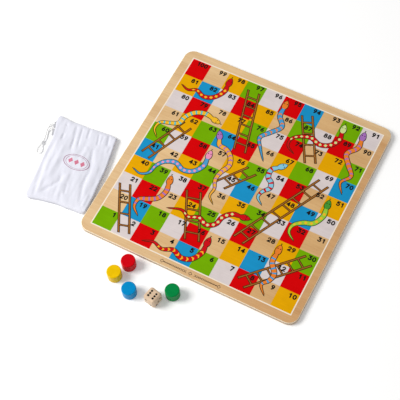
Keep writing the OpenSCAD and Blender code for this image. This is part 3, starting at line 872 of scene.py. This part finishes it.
def settle(points, rest, pinned, faces, frames=22, grow=10):
    """Lets the free cloth buckle between its pinned points, and gives the new points.

    The trial is made grow times as large, which suits the solver.
    """
    mesh = bpy.data.meshes.new("cloth_trial")
    mesh.from_pydata([p * mm * grow for p in points], [], faces)
    trial = add_object("cloth_trial", mesh)
    trial.shape_key_add(name="start")
    cut = trial.shape_key_add(name="cut")
    for k, point in enumerate(rest):
        cut.data[k].co = point * mm * grow
    pins = trial.vertex_groups.new(name="pins")
    pins.add([k for k, pin in enumerate(pinned) if pin], 1.0, "REPLACE")
    cloth = trial.modifiers.new("cloth", "CLOTH")
    rules = cloth.settings
    rules.quality = 6
    rules.mass = 0.3
    rules.tension_stiffness = 15
    rules.compression_stiffness = 15
    rules.shear_stiffness = 5
    rules.bending_stiffness = 0.35
    rules.use_pressure = True
    rules.uniform_pressure_force = 0.15
    rules.vertex_group_mass = "pins"
    rules.rest_shape_key = cut
    rules.effector_weights.gravity = 0
    cloth.collision_settings.use_collision = False
    cloth.point_cache.frame_end = frames
    for frame_now in range(1, frames + 1):
        bpy.context.scene.frame_set(frame_now)
    settled = trial.evaluated_get(bpy.context.evaluated_depsgraph_get())
    moved = [v.co / (mm * grow) for v in settled.data.vertices]
    bpy.context.scene.frame_set(1)
    bpy.data.objects.remove(trial)
    return moved


points = settle(start, flat, held, bag_faces)
most_move_mm, still_side_mm = 5, 14
lowest_mm, crown_mm = 1.2, 8
bm = bmesh.new()
painted_shade = bm.verts.layers.float.new("painted_shade")
spots = []
for k, (was, now) in enumerate(zip(start, points)):
    move = now - was
    if move.length > most_move_mm:
        move *= most_move_mm / move.length
    column = k % ring_steps
    from_side = max(0, min(column, across_steps - column)) / across_steps * bag_w_mm
    point = was + move * smooth(from_side / still_side_mm)
    if column <= across_steps:
        point.z = over_cord(point.x, point.y, max(point.z, lowest_mm))
        point.z = min(point.z, crown_mm) + 0.4 * max(point.z - crown_mm, 0)
    spots.append(bm.verts.new(bag_place @ (point * mm)))
    spots[-1][painted_shade] = shade_at.get(k, 0.0)
for face in bag_faces:
    bm.faces.new([spots[k] for k in face])
# The bottom seam joins the two layers
for i in range(across_steps):
    corners = [spots[i + 1], spots[i]]
    for column in (i, i + 1):
        below = across_steps + (across_steps - column) * under_steps / across_steps
        corner = spots[int(round(below)) % ring_steps]
        if corner not in corners:
            corners.append(corner)
    if len(corners) > 2:
        bm.faces.new(corners)
bmesh.ops.recalc_face_normals(bm, faces=bm.faces)
cotton_bag = piece_of("cotton_bag", bm)
for face in cotton_bag.data.polygons:
    face.use_smooth = True
finer_cloth = cotton_bag.modifiers.new("finer_cloth", "SUBSURF")
finer_cloth.levels = 1
finer_cloth.render_levels = 1
shell = cotton_bag.modifiers.new("cloth_thickness", "SOLIDIFY")
shell.thickness = 0.4 * mm
shell.offset = -1

cloth_group, given, filled = new_group(
    "Plain weave",
    [
        ("Place", "Vector", (0, 0, 0)),
        ("Pitch", "Float", 0.6 * mm),
        ("Color", "Color", (1, 1, 1, 1)),
    ],
    [("Color", "Color"), ("Height", "Float")],
)
spot = split(cloth_group, given["Place"])
wobble = scaled_noise(cloth_group, given["Place"], (260, 260, 260), 2.0)
threads = []
for axis in ("X", "Y"):
    phase = maths(cloth_group, "DIVIDE", spot[axis], given["Pitch"])
    phase = maths(cloth_group, "MULTIPLY_ADD", wobble, 1.6, phase)
    phase = maths(cloth_group, "MULTIPLY", phase, math.pi)
    threads.append(maths(cloth_group, "SINE", phase))
weave = maths(cloth_group, "MULTIPLY", *threads)
slubs = scaled_noise(cloth_group, given["Place"], (90, 900, 500), 2.0)
clouds = scaled_noise(cloth_group, given["Place"], (60, 60, 60), 2.0)
cloud_tone = ramp(cloth_group, clouds, 0.3, 0.7, -1, 1)
# Painted shade: the cloth is a little darker where the weave lies low, and lighter where it rises.
tone = maths(cloth_group, "MULTIPLY_ADD", weave, 0.012, 1.0)
tone = maths(cloth_group, "MULTIPLY_ADD", cloud_tone, 0.012, tone)
thread_height = maths(cloth_group, "MULTIPLY", weave, 0.5)
fill(
    cloth_group,
    filled,
    Color=toned(cloth_group, given["Color"], tone),
    Height=maths(cloth_group, "MULTIPLY_ADD", slubs, 1.2, thread_height),
)

# The motif on the top layer: two ovals, one in the other, round a row of diamonds
motif_half_w, motif_half_h = 16.8 * mm, 10 * mm
motif_above = 2.5 * mm
outer_line, inner_oval, inner_line = 0.035, 0.84, 0.02
half_pitch, diamond_reach, row_half = 4.1 * mm, 3.2 * mm, 12.3 * mm
motif_group, given, filled = new_group(
    "Printed motif",
    [("Place", "Vector", (0, 0, 0))],
    [("Rim", "Float"), ("Diamonds", "Float")],
)
spot = split(motif_group, given["Place"])
upper = maths(motif_group, "GREATER_THAN", spot["Z"], motif_above)
wide = maths(motif_group, "DIVIDE", spot["X"], motif_half_w)
tall = maths(motif_group, "DIVIDE", spot["Y"], motif_half_h)
tall = maths(motif_group, "MULTIPLY", tall, tall)
oval = maths(motif_group, "SQRT", maths(motif_group, "MULTIPLY_ADD", wide, wide, tall))
outer_rim = maths(motif_group, "COMPARE", oval, 1.0, outer_line)
inner_rim = maths(motif_group, "COMPARE", oval, inner_oval, inner_line)
rims = maths(motif_group, "MAXIMUM", outer_rim, inner_rim)
repeated = maths(motif_group, "WRAP", spot["X"], half_pitch, -half_pitch)
off_middle = maths(motif_group, "ABSOLUTE", repeated)
off_row = maths(motif_group, "ABSOLUTE", spot["Y"])
reach = maths(motif_group, "MULTIPLY_ADD", off_row, 0.8, off_middle)
in_diamond = maths(motif_group, "LESS_THAN", reach, diamond_reach)
off_centre = maths(motif_group, "ABSOLUTE", spot["X"])
in_row = maths(motif_group, "LESS_THAN", off_centre, row_half)
diamonds = maths(motif_group, "MULTIPLY", in_diamond, in_row)
fill(
    motif_group,
    filled,
    Rim=maths(motif_group, "MULTIPLY", rims, upper),
    Diamonds=maths(motif_group, "MULTIPLY", diamonds, upper),
)

# White cotton, with the motif printed on it, and painted shade along its bottom seam and in its
# slot
motif_centre = bag_place @ Vector((-33 * mm, 58.6 * mm, 0))
motif_turn = math.radians(2)
cotton, tree, shader = new_material(
    "white_cotton",
    Roughness=0.92,
    Specular_IOR_Level=0.15,
    Sheen_Weight=0.15,
    Sheen_Roughness=0.5,
)
place = point_place(tree)
turned = put(tree, "ShaderNodeMapping", {"Vector": place, "Rotation": (0, 0, -bag_turn)})
cloth = use_group(
    tree, cloth_group, {"Place": turned.outputs[0], "Color": srgb(226, 227, 238)}
)
dress(tree, shader, cloth, 0.35, 0.1 * mm)
centred = put(
    tree,
    "ShaderNodeMapping",
    {"Vector": place, "Location": tuple(motif_centre), "Rotation": (0, 0, motif_turn)},
    vector_type="TEXTURE",
)
motif = use_group(tree, motif_group, {"Place": centred.outputs[0]}).outputs
shade = put(tree, "ShaderNodeAttribute", attribute_name="painted_shade").outputs["Fac"]
colour = cloth.outputs["Color"]
for mask, share, ink in (
    (motif["Rim"], 0.75, srgb(150, 84, 118)),
    (motif["Diamonds"], 0.8, srgb(206, 66, 108)),
    # painted shade in the slot and along the bottom seam
    (shade, 0.8, srgb(96, 98, 92)),
):
    colour = mix_colour(tree, maths(tree, "MULTIPLY", mask, share), colour, ink)
tree.links.new(colour, shader.inputs["Base Color"])
wear(cotton_bag, cotton)
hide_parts("bag_body", "bag_hem")
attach(cotton_bag, "bag")


# The drawstring
# A twisted white cotton cord. It comes out of the hem at the side, its two
# ends go through one overhand knot, and it lies on the table beside the bag.

cord_d = 1.8 * mm
loop_route_mm = [
    (-238.4, -29.6, 3.5), (-241.3, -30.1, 3.4), (-243.3, -32.0, 2.8), (-244.2, -34.8, 2.0),
    (-244.4, -38.2, 1.3), (-244.1, -41.6, 0.9), (-243.2, -45.0, 0.9), (-242.1, -48.3, 0.9),
    (-241.1, -51.6, 0.9), (-240.5, -55.0, 0.9), (-240.5, -58.4, 0.9), (-240.8, -61.8, 0.9),
    (-241.2, -65.2, 0.9), (-241.3, -68.9, 0.9), (-240.3, -72.3, 0.9), (-237.6, -74.3, 0.9),
    (-234.9, -73.1, 0.9), (-234.0, -69.9, 0.9), (-235.1, -66.6, 0.9), (-237.2, -63.7, 0.9),
    (-238.4, -60.2, 0.9), (-238.3, -56.6, 0.9), (-238.3, -53.0, 0.9), (-239.2, -49.5, 0.9),
    (-240.4, -46.2, 0.9), (-241.5, -43.1, 1.2), (-241.9, -40.6, 2.0), (-241.4, -38.7, 2.8),
    (-240.0, -37.3, 3.4), (-238.1, -36.8, 3.5),
]
loop_route = [Vector(p) * mm for p in loop_route_mm]
loop_length = sum((b - a).length for a, b in zip(loop_route, loop_route[1:]))


def finer(points, parts):
    """A smooth line through the points, with more of them."""
    line = []
    for k in range(len(points) - 1):
        a = points[k - 1] if k else points[k] * 2 - points[k + 1]
        b, c = points[k], points[k + 1]
        d = points[k + 2] if k + 2 < len(points) else c * 2 - b
        pull = 2 * a - 5 * b + 4 * c - d
        sway = 3 * b - a - 3 * c + d
        for n in range(parts):
            t = n / parts
            line.append(b + ((c - a) * t + pull * t * t + sway * t ** 3) / 2)
    return line + [points[-1]]


def tube(name, line, diameter, sides=12):
    """A tube along a line, with a UV map: across 0 to 1, along in diameters."""
    bm = bmesh.new()
    sheet = bm.loops.layers.uv.new("along")
    rings, runs, run = [], [], 0.0
    side = None
    for k, point in enumerate(line):
        way = (line[min(k + 1, len(line) - 1)] - line[max(k - 1, 0)]).normalized()
        if side is None:
            side = way.orthogonal().normalized()
        side = (side - way * side.dot(way)).normalized()
        other = way.cross(side)
        if k:
            run += (point - line[k - 1]).length
        runs.append(run / diameter)
        ring = []
        for n in range(sides):
            turn = 2 * math.pi * n / sides
            out = side * math.cos(turn) + other * math.sin(turn)
            ring.append(bm.verts.new(point + out * diameter / 2))
        rings.append(ring)
    for k in range(len(rings) - 1):
        for n in range(sides):
            m = (n + 1) % sides
            face = bm.faces.new((rings[k][n], rings[k][m], rings[k + 1][m], rings[k + 1][n]))
            face.smooth = True
            spots = ((n, k), (n + 1, k), (n + 1, k + 1), (n, k + 1))
            for loop, (a, b) in zip(face.loops, spots):
                loop[sheet].uv = (a / sides, runs[b])
    bm.faces.new(list(reversed(rings[0])))
    bm.faces.new(rings[-1])
    return piece_of(name, bm)


cord_group, given, filled = new_group(
    "Cord twist", [("Color", "Color", (1, 1, 1, 1))], [("Color", "Color"), ("Height", "Float")]
)
strands, twist_per_diameter = 3.0, 1.5
spot = split(cord_group, put(cord_group, "ShaderNodeUVMap", uv_map="along").outputs[0])
phase = maths(cord_group, "MULTIPLY", spot["X"], strands)
phase = maths(cord_group, "MULTIPLY_ADD", spot["Y"], twist_per_diameter, phase)
phase = maths(cord_group, "MULTIPLY", phase, math.pi)
strand = maths(cord_group, "ABSOLUTE", maths(cord_group, "SINE", phase))
# Painted shade: the grooves between the strands are a little darker.
tone = ramp(cord_group, strand, 0.0, 0.55, 0.97, 1.0)
fill(cord_group, filled, Color=toned(cord_group, given["Color"], tone), Height=strand)

cord_cotton, tree, shader = new_material(
    "cotton_cord", Roughness=0.9, Specular_IOR_Level=0.15, Sheen_Weight=0.1
)
twist = use_group(tree, cord_group, {"Color": srgb(255, 255, 255)})
dress(tree, shader, twist, 0.18)

cord_line = finer(loop_route, 4)
cord_loop = tube("cord_loop", cord_line, cord_d)
wear(cord_loop, cord_cotton)
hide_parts("drawstring_loop")
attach(cord_loop, "bag")

inside_cotton, tree, shader = new_material("cord_in_hem", Roughness=0.9, Specular_IOR_Level=0.15)
plies = use_group(
    tree,
    cloth_group,
    {"Place": point_place(tree), "Pitch": 1.2 * mm, "Color": srgb(232, 231, 232)},
)
dress(tree, shader, plies, 0.3)
wear(nodes["drawstring_in_hem"], inside_cotton)

knot_centre = Vector((-239.9, -60.2, 2.5)) * mm
knot_heading = math.radians(100)
knot_way = Vector((math.cos(knot_heading), math.sin(knot_heading), 0))
knot_side = Vector((-knot_way.y, knot_way.x, 0))
knot_long_mm, knot_radius_mm = 4.2, 1.7
knot_turns, knot_start, knot_steps = 2.4, 0.6, 60
knot_line = []
for k in range(knot_steps + 1):
    t = k / knot_steps
    a = 2 * math.pi * knot_turns * t + knot_start
    around = (knot_side * math.cos(a) + Vector((0, 0, 1)) * math.sin(a)) * knot_radius_mm * mm
    knot_line.append(knot_centre + knot_way * (t - 0.5) * knot_long_mm * mm + around)
cord_knot = tube("cord_knot", knot_line, cord_d)
wear(cord_knot, cord_cotton)
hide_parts("drawstring_knot")
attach(cord_knot, "bag")
tuple(loop_route[0])
[tuple(p) for p in cord_line]


# The sizes, and the end of the scene

sizes = {"cad": cad_bounds, "visual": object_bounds()}
{k: [list(corner) for corner in pair] for k, pair in sizes.items()}
